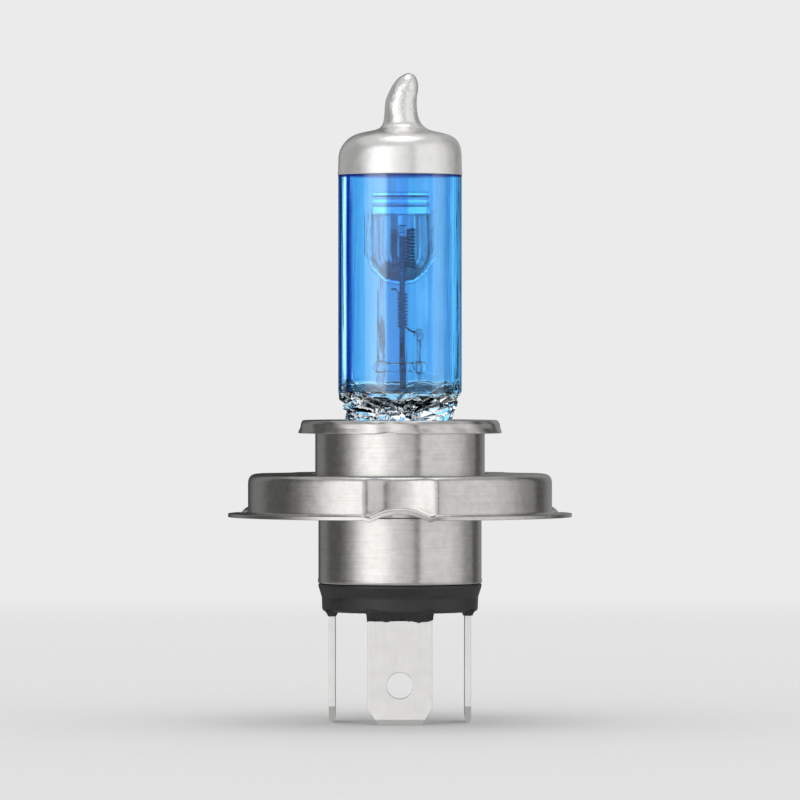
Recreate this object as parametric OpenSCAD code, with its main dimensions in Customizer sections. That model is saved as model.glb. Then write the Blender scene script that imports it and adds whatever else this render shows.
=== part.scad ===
// Two-filament halogen headlight bulb with a 38 mm ring base.
// +Z runs along the lamp axis to the exhaust tip. The origin is on the axis, in the
// reference plane that the crests of the three seating lugs form. The single flat
// blade and the open side of the beam shield face -Y.

/* [Burner] */
// Outer diameter of the bare glass tube
glass_d = 15.36; // [15:0.02:16]
// Wall thickness of the glass tube
glass_wall = 1.2; // [1:0.05:1.4]
// Height of the top of the exhaust tip
tip_top_z = 54.3; // [53:0.1:56]
// Height where the dome leaves the straight tube
dome_z = 43.0; // [42.5:0.1:43.5]
// Height of the lower edge of the silver layer
silver_edge_z = 41.5; // [39.5:0.1:42]
// Height of the lower edge of the blue layer, where the pinch shoulders start
tube_bottom_z = 14.2; // [14:0.1:15]
// Thickness of the blue and silver layers
coat_t = 0.05; // [0.04:0.01:0.08]
// Width of the pinch seal
pinch_w = 11.4; // [11:0.1:12]
// Thickness of the pinch seal between its rims
pinch_t = 4.2; // [4:0.1:4.6]

/* [Filaments and shield] */
// Outer diameter of both coils
coil_d = 1.4; // [1.2:0.1:1.6]
// Diameter of the coil wire
coil_wire_d = 0.24; // [0.2:0.02:0.26]
// Rise of the coil in one turn
coil_pitch = 0.42; // [0.4:0.02:0.5]
// Outer radius of the shield's cup
shield_r = 3.8; // [3.6:0.1:4]
// Height of the lowest point of the shield's rim
shield_bottom_z = 27.8; // [27.5:0.1:28.5]
// Height of the top of the shield's cup
shield_top_z = 37.1; // [36.5:0.1:37.5]

/* [Metal base] */
// Diameter of the ring that centres the bulb in the reflector
ring_d = 38; // [37.9:0.05:38.1]
// Diameter of the flange
flange_d = 43; // [42:0.1:44]
// Height of the top face of the ring
ring_top_z = 4.2; // [4:0.1:4.6]
// Thickness of the ring's sheet
ring_t = 0.45; // [0.4:0.05:0.5]
// Drop from the lug crests to the flange
flange_drop = 0.75; // [0.7:0.05:0.8]
// Width of a seating lug
lug_w = 7.2; // [6.8:0.1:7.4]
// Outer diameter of the collar
collar_d = 21.2; // [21.2:0.1:21.4]
// Diameter of the lower edge of the collar's brim
brim_d = 25.5; // [25:0.1:26]
// Height of the top face of the brim
brim_top_z = 10.9; // [10.6:0.1:11]
// Outer diameter of the lower shell
shell_d = 20.4; // [20.3:0.02:20.4]
// Height of the rolled lower edge of the shell
shell_bottom_z = -9.5; // [-9.8:0.1:-9.3]

/* [Insulator and blades] */
// Height of the lower face of the insulator
insulator_bottom_z = -13.0; // [-13.4:0.1:-12.8]
// Width of a contact blade
blade_w = 8.0; // [7.8:0.1:8.2]
// Thickness of a contact blade
blade_t = 0.8; // [0.7:0.05:0.85]
// Distance from the axis to the middle of a blade
blade_offset = 8.45; // [8.3:0.05:8.5]
// Height of the ends of the blades
blade_end_z = -26.8; // [-28:0.1:-26]
// Diameter of the hole in each blade
blade_hole_d = 3.25; // [3:0.05:3.4]

/* [Hidden] */
$fn = 64;
eps = 0.01;

// Burner
glass_r = glass_d / 2;
cavity_r = glass_r - glass_wall;
shoulder_r = 3.2;
crown_z = dome_z + shoulder_r * sin(70);
nipple_root_r = 1.95;
nipple_r = 1.5;
nipple_root_z = dome_z + 5.0;
tip_bend_r = 5;
tip_bend = 30;
tip_bend_z = tip_top_z - nipple_r - tip_bend_r * sin(tip_bend);
cavity_bottom_z = tube_bottom_z - 0.8;
pinch_top_z = tube_bottom_z - 3.8;
pinch_bottom_z = -1.0;
pinch_rim_w = 0.8;
pinch_rim_t = pinch_t + 0.8;

// Current path: each circuit has its lead, foil and wire in one line in the pinch
common_x = -2.3;
low_x = 0.3;
high_x = 2.3;
lead_r = 0.35;
common_lead_r = 0.5;
foil_w = 1.9;
foil_t = 0.1;
foil_top_z = 7.0;
foil_bottom_z = 1.5;
wire_r = 0.4;
elbow_r = 1.2;
rod_sides = 16;
bridge_z = 17.4;
bridge_r = 0.75;
bead_r = 0.95;

// Filaments and shield
coil_r = (coil_d - coil_wire_d) / 2;
low_coil = [1.2, 0, 30.0];
low_turns = 11;
high_coil = [0.35, 0, 22.4];
high_turns = 10.5;
steps_per_turn = 12;
coil_sides = 6;
low_front = 1.9;
low_lead_top_z = low_coil[2] + low_turns * coil_pitch + 0.4;
high_lead_top_z = high_coil[2] - 0.3;
shield_x = 0.1;
shield_t = 0.3;
shield_rim_r = shield_r + 0.45;
shield_front_y = -0.4;
shield_ball_z = shield_bottom_z + shield_rim_r;
shield_back = sqrt(pow(shield_r + common_lead_r, 2) - pow(shield_x - common_x, 2));
tab_w = 7.0;
tab_h = 2.3;
crimp_t = 0.2;
crimp_l = 1.0;

// Leads as [distance forward or back, height] in the upright plane of their bends
low_lead_path = [[0, foil_top_z], [0, 18.8], [low_front, 21], [low_front, low_lead_top_z]];
high_lead_path = [[0, foil_top_z], [0, high_lead_top_z]];
common_lead_path = [[0, foil_top_z], [0, 18.8], [shield_back, 24], [shield_back, 35.2]];

// Metal base
ring_r = ring_d / 2;
flange_r = flange_d / 2;
flange_z = -flange_drop;
ring_corner_r = 1.2;
ring_root_r = 0.85;
scallop_r = 8.2;
scallop_depth_r = 17.45;
scallop_centre = scallop_depth_r + scallop_r;
lug_foot_z = flange_z - 0.2;
lug_arc_r = (pow(lug_w / 2, 2) + pow(lug_foot_z, 2)) / (2 * abs(lug_foot_z));
lug_relief = 0.3;
lug_angles = [0, 120, 240];
ring_neck_z = 1.2;
collar_r = collar_d / 2;
collar_t = 0.5;
collar_bottom_z = -0.6;
collar_hole_r = 8.6;
brim_r = brim_d / 2;
brim_top_r = brim_r - 0.6;
brim_edge_z = brim_top_z - 1.65;
brim_dip_x = -1.5;
brim_dip_r = 1.5;
shell_r = shell_d / 2;
shell_t = 0.45;
shell_roll_r = 0.4;
shell_lip_r = shell_r - shell_t - 0.3;
shell_neck_z = flange_z - ring_t - 0.1;
shell_neck_r = shell_r - 0.2;
shell_top_z = 2.6;
sleeve_top_z = 8.3;
sleeve_bottom_z = 3.0;
clip_t = 0.4;
clip_bottom_z = 2.0;

// Insulator and blades
plug_r = shell_r - shell_t;
plug_top_z = shell_bottom_z + 1.3;
insulator_edge_r = 0.5;
insulator_top_r = shell_r - 0.1;
insulator_foot_r = shell_r - 0.45;
neck_w = 6.4;
neck_top_z = plug_top_z + 2.7;
blade_end_w = 5.45;
blade_taper_l = 2.1;
blade_bevel_l = 0.7;
blade_bevel = 0.25;
blade_hole_z = blade_end_z + 4.9;
sealant_w = blade_w + 0.2;
sealant_t = blade_t + 0.4;
front_sealant_h = 1.1;
side_sealant_h = 0.3;
wire_drop_z = -2.5;
wire_seat = blade_offset - blade_t / 2 - wire_r;
wire_end_z = plug_top_z + 0.7;
weld_r = 0.55;

side_wire_path = wire_path(wire_seat - high_x);
low_wire_path = wire_path(wire_seat);

function arc(c, r, a0, a1, n = 8) =
    [for (i = [0:n]) let (a = a0 + (a1 - a0) * i / n) c + r * [cos(a), sin(a)]];

function wire_path(reach) = [[0, foil_bottom_z], [0, wire_drop_z], [reach, wire_drop_z - 2],
    [reach, wire_end_z]];

function unit(v) = v / norm(v);

// Points of an arc of radius r that rounds the corner b of the flat path a, b, c
function corner(a, b, c, r, n = 4) =
    let (u = unit(b - a), w = unit(c - b), t = acos(u * w),
        side = sign(u[0] * w[1] - u[1] * w[0]),
        centre = b - r * tan(t / 2) * u + side * r * [-u[1], u[0]],
        first = atan2(-side * u[0], side * u[1]))
    [for (i = [0:n]) let (a = first + side * t * i / n) centre + r * [cos(a), sin(a)]];

function rounded(path, r) = [path[0], for (i = [1:1:len(path) - 2])
    each corner(path[i - 1], path[i], path[i + 1], r), path[len(path) - 1]];

// Points of a coil about the vertical through start, with a straight tail at each end
function coil_path(start, turns, tail_in, tail_out) = concat([tail_in],
    [for (i = [0:turns * steps_per_turn]) let (a = 360 * i / steps_per_turn)
        start + [coil_r * cos(a), coil_r * sin(a), coil_pitch * i / steps_per_turn]],
    [tail_out]);

// Round wire of radius r along a path that never runs along the direction across
module sweep_wire(path, r, sides, across = [0, 0, 1]) {
    last = len(path) - 1;
    points = [for (i = [0:last])
        let (t = unit(path[min(i + 1, last)] - path[max(i - 1, 0)]),
            u = unit(cross(t, across)), v = cross(t, u))
        for (k = [0:sides - 1]) let (a = 360 * k / sides)
            path[i] + r * (cos(a) * u + sin(a) * v)];
    sides_faces = [for (i = [0:last - 1]) for (k = [0:sides - 1]) let (n = (k + 1) % sides)
        [i * sides + k, i * sides + n, (i + 1) * sides + n, (i + 1) * sides + k]];
    ends = [[for (k = [sides - 1:-1:0]) k], [for (k = [0:sides - 1]) last * sides + k]];
    polyhedron(points, concat(sides_faces, ends), convexity = 10);
}

// Round rod along a path in the upright plane that starts on the pinch line at x and
// faces azimuth, with its bends rounded
module rod(x, azimuth, path, r) translate([x, 0, 0]) rotate([0, 0, azimuth])
    sweep_wire([for (p = rounded(path, elbow_r)) [p[0], 0, p[1]]], r, rod_sides, [0, 1, 0]);

// Block centred in x and y, from height z0 to z1
module block(w, d, z0, z1) translate([-w / 2, -d / 2, z0]) cube([w, d, z1 - z0]);

module tube(r_out, r_in, z0, z1) translate([0, 0, z0]) difference() {
    cylinder(r = r_out, h = z1 - z0);
    translate([0, 0, -eps]) cylinder(r = r_in, h = z1 - z0 + 2 * eps);
}

// Outline of the tube and dome from height z0 to the bend of the tip, grown by g
function dome_outline(g, z0) = concat([[0, z0], [glass_r + g, z0]],
    arc([glass_r - shoulder_r, dome_z], shoulder_r + g, 0, 70),
    [[nipple_root_r + 0.75, nipple_root_z - 1.2 + g],
    [nipple_root_r + 0.2 + g, nipple_root_z - 0.7], [nipple_root_r + g, nipple_root_z],
    [nipple_r + g, tip_bend_z], [0, tip_bend_z]]);

// Solid dome and leaning exhaust tip, grown by g
module dome_solid(g, z0) {
    rotate_extrude() polygon(dome_outline(g, z0));
    translate([tip_bend_r, 0, tip_bend_z]) rotate([90, 0, 180])
        rotate_extrude(angle = tip_bend) translate([tip_bend_r, 0]) circle(r = nipple_r + g);
    translate([tip_bend_r * (1 - cos(tip_bend)), 0, tip_top_z - nipple_r])
        sphere(r = nipple_r + g);
}

// Wedge that squeezes the round tube down to the flat pinch
module shoulder_wedge() {
    z0 = pinch_top_z;
    z1 = tube_bottom_z;
    mouth = glass_r + 0.3;
    intersection() {
        rotate_extrude() polygon([[0, z0], [6.2, z0], [6.7, z0 + 1.4],
            [glass_r - 0.35, z1 - 0.7], [glass_r, z1], [0, z1]]);
        rotate([90, 0, 90]) translate([0, 0, -10]) linear_extrude(20)
            polygon([[-pinch_rim_t / 2, z0], [pinch_rim_t / 2, z0], [mouth, z1],
                [-mouth, z1]]);
        rotate([90, 0, 0]) translate([0, 0, -10]) linear_extrude(20)
            polygon([[-pinch_w / 2, z0], [pinch_w / 2, z0], [mouth, z1], [-mouth, z1]]);
    }
}

module pinch_block(z0, z1) {
    block(pinch_w, pinch_t, z0, z1);
    for (s = [-1, 1]) translate([s * (pinch_w - pinch_rim_w) / 2, 0, 0])
        block(pinch_rim_w, pinch_rim_t, z0, z1);
}

module burner_cavity() rotate_extrude() polygon(concat(
    [[0, cavity_bottom_z], [4.6, cavity_bottom_z + 0.5], [cavity_r, cavity_bottom_z + 2.2]],
    arc([glass_r - shoulder_r, dome_z], shoulder_r - glass_wall, 0, 70),
    [[0, crown_z - glass_wall + 0.3]]));

module foil(x) translate([x, 0, 0]) block(foil_w, foil_t, foil_bottom_z, foil_top_z);

// Everything that runs through the pinch, as the straight holes that it leaves in the glass
module pinch_holes() {
    for (x = [low_x, high_x]) translate([x, 0, foil_top_z])
        cylinder(r = lead_r, h = tube_bottom_z, $fn = 32);
    translate([common_x, 0, foil_top_z])
        cylinder(r = common_lead_r, h = tube_bottom_z, $fn = 32);
    for (x = [low_x, high_x, common_x]) {
        foil(x);
        translate([x, 0, wire_drop_z])
            cylinder(r = wire_r, h = foil_bottom_z - wire_drop_z, $fn = 32);
    }
}

module glass_envelope() color([0.86, 0.92, 0.97, 0.45]) difference() {
    union() {
        dome_solid(0, tube_bottom_z);
        shoulder_wedge();
        pinch_block(pinch_bottom_z, pinch_top_z);
    }
    burner_cavity();
    pinch_holes();
}

module blue_coating() color([0.2, 0.55, 0.95, 0.5])
    tube(glass_r + coat_t, glass_r, tube_bottom_z, silver_edge_z);

module silver_cap() color([0.86, 0.86, 0.84]) difference() {
    dome_solid(coat_t, silver_edge_z);
    dome_solid(0, silver_edge_z - 1);
}

module low_beam_filament() color([0.45, 0.45, 0.48]) {
    top = low_coil + [coil_r, 0, low_turns * coil_pitch];
    sweep_wire(coil_path(low_coil, low_turns, low_coil + [coil_r + 0.2, -1.2, -0.2],
        [low_x + lead_r + crimp_t, -low_front, top[2]]), coil_wire_d / 2, coil_sides);
}

module high_beam_filament() color([0.45, 0.45, 0.48]) {
    top_z = high_coil[2] + high_turns * coil_pitch;
    sweep_wire(coil_path(high_coil, high_turns,
        [high_x - lead_r - crimp_t, -0.3, high_coil[2] - 0.5],
        [common_x + 1.3, 1.5, top_z + 0.5]), coil_wire_d / 2, coil_sides);
}

// Half capsule behind the plane y = front_y: a round cup with a ball end below
module half_capsule(r, front_y, top_z) intersection() {
    union() {
        translate([0, 0, shield_ball_z]) cylinder(r = r, h = top_z - shield_ball_z);
        translate([0, 0, shield_ball_z]) sphere(r = r);
    }
    translate([-2 * r, front_y, 0]) cube([4 * r, 2 * r, 2 * top_z]);
}

module beam_shield() color([0.62, 0.63, 0.66]) translate([shield_x, 0, 0]) {
    difference() {
        union() {
            half_capsule(shield_r, shield_front_y, shield_top_z);
            intersection() {
                half_capsule(shield_rim_r, shield_front_y, shield_top_z);
                translate([-10, shield_front_y, 0]) cube([20, shield_t, 60]);
            }
        }
        half_capsule(shield_r - shield_t, shield_front_y - 1, shield_top_z - shield_t);
    }
    translate([0, shield_front_y + 1.2, 0]) {
        block(tab_w, shield_t, shield_top_z - eps, shield_top_z + tab_h);
        for (z = [0.7, 1.6]) translate([-tab_w / 2, -shield_t / 2, shield_top_z + z])
            rotate([0, 90, 0]) cylinder(r = 0.25, h = tab_w, $fn = 32);
    }
}

module crimp(at, r) translate(at) tube(r + crimp_t, r, 0, crimp_l);

module filament_crimps() color([0.55, 0.55, 0.58]) {
    crimp([low_x, -low_front, low_lead_top_z - crimp_l], lead_r);
    crimp([high_x, 0, high_lead_top_z - crimp_l], lead_r);
}

module low_beam_lead() color([0.5, 0.5, 0.54]) rod(low_x, -90, low_lead_path, lead_r);
module high_beam_lead() color([0.5, 0.5, 0.54]) rod(high_x, 0, high_lead_path, lead_r);
module common_lead() color([0.5, 0.5, 0.54])
    rod(common_x, 90, common_lead_path, common_lead_r);

module quartz_bridge() color([0.85, 0.9, 0.95, 0.6]) difference() {
    union() {
        translate([common_x, 0, bridge_z]) rotate([0, 90, 0])
            cylinder(r = bridge_r, h = high_x - common_x);
        for (x = [common_x, high_x]) translate([x, 0, bridge_z]) sphere(r = bead_r);
    }
    pinch_holes();
}

module low_beam_foil() color([0.4, 0.4, 0.42]) foil(low_x);
module high_beam_foil() color([0.4, 0.4, 0.42]) foil(high_x);
module common_foil() color([0.4, 0.4, 0.42]) foil(common_x);

module low_beam_wire() color([0.6, 0.55, 0.5]) rod(low_x, -90, low_wire_path, wire_r);
module high_beam_wire() color([0.6, 0.55, 0.5]) rod(high_x, 0, side_wire_path, wire_r);
module earth_wire() color([0.6, 0.55, 0.5]) rod(common_x, 180, side_wire_path, wire_r);

// Spring band round the pinch with a flat foot under the sleeve's plate
module pinch_clip() color([0.7, 0.7, 0.72]) {
    foot_z = sleeve_top_z - clip_t;
    difference() {
        union() {
            block(pinch_w + 2 * clip_t, pinch_rim_t + 2 * clip_t, clip_bottom_z, foot_z);
            block(pinch_w + 3, pinch_rim_t + 3, foot_z - clip_t, foot_z);
        }
        block(pinch_w, pinch_rim_t, clip_bottom_z - 1, foot_z + 1);
    }
}

module burner_sleeve() color([0.72, 0.71, 0.69]) difference() {
    cylinder_r = collar_r - collar_t;
    union() {
        tube(cylinder_r, cylinder_r - clip_t, sleeve_bottom_z, sleeve_top_z);
        translate([0, 0, sleeve_top_z - clip_t]) cylinder(r = cylinder_r - eps, h = clip_t);
    }
    block(pinch_w + 0.4, pinch_rim_t + 0.4, 0, sleeve_top_z + 1);
}

// Upper sleeve with a flat brim and a flared skirt, staked once at the front
module collar() color([0.78, 0.76, 0.73]) difference() {
    rotate_extrude() polygon(concat(
        [[collar_r - collar_t, collar_bottom_z], [collar_r, collar_bottom_z],
        [collar_r, brim_top_z - collar_t], [brim_top_r - 0.2, brim_top_z - collar_t],
        [brim_r - collar_t, brim_edge_z], [brim_r, brim_edge_z]],
        arc([brim_top_r - 0.3, brim_top_z - 0.3], 0.3, 20, 90, 5),
        [[collar_hole_r, brim_top_z], [collar_hole_r, brim_top_z - collar_t],
        [collar_r - collar_t, brim_top_z - collar_t]]));
    translate([brim_dip_x, -brim_r + 1, brim_edge_z - brim_dip_r + 0.25]) rotate([90, 0, 0])
        cylinder(r = brim_dip_r, h = 3);
}

module scallop_cut(r, z0, z1) for (a = lug_angles) rotate([0, 0, a])
    translate([0, -scallop_centre, z0]) cylinder(r = r, h = z1 - z0, $fn = 96);

// Solid outline of the dish and flange, and the hollow under it
module dish_outer() rotate_extrude($fn = 96) polygon(concat(
    [[0, flange_z - ring_t], [flange_r - 0.1, flange_z - ring_t],
    [flange_r, flange_z - ring_t + 0.1], [flange_r, flange_z - 0.1],
    [flange_r - 0.1, flange_z]],
    arc([ring_r + ring_root_r, flange_z + ring_root_r], ring_root_r, 270, 180, 5),
    arc([ring_r - ring_corner_r, ring_top_z - ring_corner_r], ring_corner_r, 0, 90, 6),
    [[0, ring_top_z]]));

module dish_inner() rotate_extrude($fn = 96) polygon(concat(
    [[0, flange_z - ring_t - 1], [ring_r + ring_root_r, flange_z - ring_t - 1]],
    arc([ring_r + ring_root_r, flange_z + ring_root_r], ring_root_r + ring_t, 270, 180, 5),
    arc([ring_r - ring_corner_r, ring_top_z - ring_corner_r], ring_corner_r - ring_t,
        0, 90, 6),
    [[0, ring_top_z - ring_t]]));

// One crowned seating lug, facing -Y
module lug() intersection() {
    rotate([90, 0, 0]) difference() {
        translate([0, -lug_arc_r, 0]) cylinder(r = lug_arc_r, h = flange_r + 1, $fn = 96);
        translate([0, -lug_arc_r, -1])
            cylinder(r = lug_arc_r - ring_t, h = flange_r + 3, $fn = 96);
    }
    translate([-lug_w / 2, -flange_r - 1, -3]) cube([lug_w, flange_r, 3 + eps]);
    translate([0, -scallop_centre, -3]) cylinder(r = scallop_r + ring_t / 2, h = 4, $fn = 96);
    translate([0, 0, -3]) cylinder(r = flange_r, h = 4, $fn = 96);
}

module lug_window() intersection() {
    translate([0, -scallop_centre, flange_z - ring_t - 1])
        cylinder(r = scallop_r, h = 2, $fn = 96);
    translate([-lug_w / 2 - lug_relief, -flange_r - 1, flange_z - ring_t - 1])
        cube([lug_w + 2 * lug_relief, flange_r, 2]);
}

module prefocus_ring() color([0.77, 0.75, 0.72]) {
    difference() {
        dish_outer();
        scallop_cut(scallop_r, flange_z, ring_top_z + 1);
        difference() {
            dish_inner();
            scallop_cut(scallop_r + ring_t, flange_z - 3, ring_top_z + 1);
        }
        cylinder(r = collar_r, h = ring_top_z + 1);
        for (a = lug_angles) rotate([0, 0, a]) lug_window();
    }
    tube(collar_r + ring_t, collar_r, ring_neck_z, ring_top_z);
    for (a = lug_angles) rotate([0, 0, a]) lug();
}

// Sleeve with its lower edge rolled inward round the insulator
module lower_shell() color([0.78, 0.76, 0.73]) rotate_extrude() polygon(concat(
    [[shell_r - shell_t, shell_bottom_z + 0.4], [shell_lip_r, shell_bottom_z + 0.4],
    [shell_lip_r, shell_bottom_z]],
    arc([shell_r - shell_roll_r, shell_bottom_z + shell_roll_r], shell_roll_r, 270, 360, 5),
    [[shell_r, shell_neck_z], [shell_neck_r, shell_neck_z + 0.1],
    [shell_neck_r, shell_top_z], [shell_r - shell_t, shell_top_z]]));

// A blade's outline in its own plane: tab, chamfered end and narrow neck
module blade_outline() polygon([[-blade_end_w / 2, blade_end_z],
    [blade_end_w / 2, blade_end_z], [blade_w / 2, blade_end_z + blade_taper_l],
    [blade_w / 2, insulator_bottom_z], [neck_w / 2, insulator_bottom_z],
    [neck_w / 2, neck_top_z - 0.6], [neck_w / 2 - 0.6, neck_top_z],
    [-neck_w / 2 + 0.6, neck_top_z], [-neck_w / 2, neck_top_z - 0.6],
    [-neck_w / 2, insulator_bottom_z], [-blade_w / 2, insulator_bottom_z],
    [-blade_w / 2, blade_end_z + blade_taper_l]]);

// One contact blade with its bevelled end and hole, at the -Y place
module blade() translate([0, -blade_offset, 0]) intersection() {
    difference() {
        translate([0, blade_t / 2, 0]) rotate([90, 0, 0]) linear_extrude(blade_t)
            blade_outline();
        translate([0, blade_t, blade_hole_z]) rotate([90, 0, 0])
            cylinder(d = blade_hole_d, h = 2 * blade_t);
    }
    rotate([90, 0, 90]) translate([0, 0, -blade_w]) linear_extrude(2 * blade_w)
        polygon([[-blade_t / 2 + blade_bevel, blade_end_z],
            [blade_t / 2 - blade_bevel, blade_end_z],
            [blade_t / 2, blade_end_z + blade_bevel_l], [blade_t / 2, neck_top_z],
            [-blade_t / 2, neck_top_z], [-blade_t / 2, blade_end_z + blade_bevel_l]]);
}

module low_beam_terminal() color([0.8, 0.8, 0.79]) blade();
module high_beam_terminal() color([0.8, 0.8, 0.79]) rotate([0, 0, 90]) blade();
module earth_terminal() color([0.8, 0.8, 0.79]) rotate([0, 0, -90]) blade();

module insulator() color([0.12, 0.12, 0.13]) difference() {
    rotate_extrude() polygon(concat([[0, insulator_bottom_z]],
        arc([insulator_foot_r - insulator_edge_r, insulator_bottom_z + insulator_edge_r],
            insulator_edge_r, 270, 350, 5),
        [[insulator_top_r, shell_bottom_z - 0.35], [insulator_top_r, shell_bottom_z],
        [shell_lip_r, shell_bottom_z], [shell_lip_r, shell_bottom_z + 0.4],
        [plug_r, shell_bottom_z + 0.4], [plug_r, plug_top_z], [0, plug_top_z]]));
    for (a = [0, 90, -90]) rotate([0, 0, a]) translate([0, -blade_offset, 0])
        block(neck_w, blade_t, insulator_bottom_z - 1, plug_top_z + 1);
    translate([0, 0, insulator_bottom_z - 1]) cylinder(r = 4.2, h = 1.6);
}

// Resin round the root of a blade, at the -Y place
module sealant(h) translate([0, -blade_offset, 0]) difference() {
    block(sealant_w, sealant_t, insulator_bottom_z - h, insulator_bottom_z);
    block(blade_w, blade_t, insulator_bottom_z - h - 1, insulator_bottom_z + 1);
}

module blade_sealant() color([0.08, 0.08, 0.09]) {
    sealant(front_sealant_h);
    for (a = [90, -90]) rotate([0, 0, a]) sealant(side_sealant_h);
}

module weld_joints() color([0.6, 0.6, 0.6]) {
    seat = wire_seat + wire_r - weld_r;
    for (at = [[low_x, -seat], [seat, 0], [-seat, 0]]) translate([at[0], at[1], wire_end_z - 0.5])
        cylinder(r = weld_r, h = 0.5, $fn = 32);
}

glass_envelope();
blue_coating();
silver_cap();
low_beam_filament();
high_beam_filament();
beam_shield();
filament_crimps();
low_beam_lead();
high_beam_lead();
common_lead();
quartz_bridge();
low_beam_foil();
high_beam_foil();
common_foil();
low_beam_wire();
high_beam_wire();
earth_wire();
pinch_clip();
burner_sleeve();
collar();
prefocus_ring();
lower_shell();
insulator();
blade_sealant();
low_beam_terminal();
high_beam_terminal();
earth_terminal();
weld_joints();
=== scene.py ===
import math
import random

import bmesh
import bpy
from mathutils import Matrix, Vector


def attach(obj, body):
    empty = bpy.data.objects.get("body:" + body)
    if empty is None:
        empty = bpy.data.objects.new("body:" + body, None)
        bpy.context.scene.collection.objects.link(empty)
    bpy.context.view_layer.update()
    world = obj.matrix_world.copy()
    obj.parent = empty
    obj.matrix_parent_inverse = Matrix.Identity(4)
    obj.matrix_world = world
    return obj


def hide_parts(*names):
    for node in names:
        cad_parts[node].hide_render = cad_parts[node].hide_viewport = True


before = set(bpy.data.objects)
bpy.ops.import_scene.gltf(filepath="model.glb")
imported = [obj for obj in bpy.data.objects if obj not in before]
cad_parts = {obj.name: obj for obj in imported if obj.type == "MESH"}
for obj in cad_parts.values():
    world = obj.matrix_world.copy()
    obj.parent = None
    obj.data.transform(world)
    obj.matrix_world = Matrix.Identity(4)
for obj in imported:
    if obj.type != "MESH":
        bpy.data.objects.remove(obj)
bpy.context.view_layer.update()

# Two-filament headlight bulb. Lengths in this script are millimetres in the CAD frame,
# and become metres when a mesh is made. Azimuths are degrees from +X towards +Y, so the
# front of the bulb is at -90.
MM = 0.001
FRONT = -90
LUG_AZIMUTHS = (-90, 30, 150)

# Burner
FILM_R = 7.73
FILM_INNER_R = 7.69
GLASS_R = 7.66
CAVITY_R = 6.48
CAVITY_FLOOR = 13.35
TUBE_BOTTOM = 14.2
SILVER_EDGE = 41.5
PINCH_TOP = 10.2
PINCH_BOTTOM = -1.0
PINCH_HALF = (5.7, 2.1)
TIP_TOP = 54.28
TIP_X = 1.18
TUBE_SIDES = 192
FACET_SIDES = 32

# Silhouette of the dome and the leaning tip, from the straight tube up: x and height
# of the left and of the right outline
DOME_LEFT = ((-7.66, 42.7), (-7.66, 43.4), (-7.6, 44.05), (-7.46, 44.6), (-7.2, 45.1),
             (-6.8, 45.65), (-6.2, 46.2), (-5.4, 46.6), (-4.5, 46.83), (-3.6, 47.0),
             (-2.9, 47.16), (-2.4, 47.42), (-2.08, 47.85), (-1.94, 48.5), (-1.9, 49.3),
             (-1.84, 50.2), (-1.62, 51.1), (-1.3, 51.9), (-0.92, 52.65), (-0.5, 53.25),
             (-0.05, 53.7), (0.55, 54.07))
DOME_RIGHT = ((7.66, 42.9), (7.66, 43.7), (7.62, 44.4), (7.5, 45.05), (7.27, 45.6),
              (6.85, 46.1), (6.25, 46.45), (5.45, 46.7), (4.6, 46.88), (3.8, 47.08),
              (3.2, 47.35), (2.75, 47.75), (2.42, 48.3), (2.2, 49.0), (2.09, 49.8),
              (2.07, 50.6), (2.09, 51.4), (2.16, 52.1), (2.2, 52.75), (2.13, 53.3),
              (1.94, 53.75), (1.6, 54.08))

# Leads, filaments and shield
COMMON_X = -2.3
LOW_X = 0.3
HIGH_X = 2.3
LEAD_R = 0.35
COMMON_LEAD_R = 0.5
FOIL_TOP = 7.0
LOW_FRONT = -1.9
LOW_LEAD_TOP = 35.02
HIGH_LEAD_TOP = 22.1
COMMON_BACK = 3.57
COMMON_LEAD_TOP = 35.2
BRIDGE_Z = 17.4
COIL_R = 0.58
COIL_WIRE_R = 0.12
COIL_PITCH = 0.42
LOW_COIL = (1.2, 0.0, 30.0)
LOW_TURNS = 11
HIGH_COIL = (0.35, 0.0, 22.4)
HIGH_TURNS = 10.5
CUP_X = 0.1
CUP_R = 3.8
CUP_SHEET = 0.2
CUP_RIM_R = 4.25
CUP_FRONT = -0.4
CUP_BALL_Z = 32.05
CUP_TOP = 37.1
TAB_HALF = 3.5
TAB_TOP = 39.4
TAB_Y = 0.8

# Metal base
RING_R = 19.0
RING_TOP = 4.2
RING_SHEET = 0.45
FLANGE_R = 21.49
FLANGE_Z = -0.75
HOLLOW_R = 8.2
HOLLOW_CENTRE = 25.65
LUG_HALF = 3.6
LUG_FADE = 1.0
LUG_ARC_R = 7.3
COLLAR_R = 10.6
BRIM_TOP = 10.9
BRIM_EDGE = 9.25
BRIM_R = 12.75
SHELL_R = 10.2
SHELL_BOTTOM = -9.5

# Insulator and blades
INSULATOR_BOTTOM = -13.0
BLADE_CENTRE = 8.45
BLADE_HALF = 4.0
BLADE_T = 0.8
BLADE_END = -26.8
BLADE_END_HALF = 2.72
BLADE_TAPER = 2.1
BLADE_HOLE_Z = -21.9
BLADE_HOLE_R = 1.62
BLADE_BEVEL = 0.08
BLADE_NECK_HALF = 3.2
BLADE_NECK_TOP = -5.5
BLADE_COIN_L = 0.7
BLADE_COIN_T = 0.38


def link(name, data):
    """New object in the scene that shows this data."""
    obj = bpy.data.objects.new(name, data)
    bpy.context.scene.collection.objects.link(obj)
    return obj


# ---- Camera ----

def add_camera():
    """Long lens at the photograph's height: almost level with the flange."""
    distance, elevation = 0.8, math.radians(0.3)
    aim = Vector((0, 0, 13.4)) * MM
    data = bpy.data.cameras.new("camera")
    data.sensor_width = 36
    data.lens = 288
    data.clip_start, data.clip_end = 0.05, 50
    camera = link("camera", data)
    back = Vector((0, -math.cos(elevation), math.sin(elevation)))
    camera.location = aim + back * distance
    camera.rotation_mode = "QUATERNION"
    camera.rotation_quaternion = (-back).to_track_quat("-Z", "Y")
    bpy.context.scene.camera = camera


add_camera()


# ---- Mesh helpers ----

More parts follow.
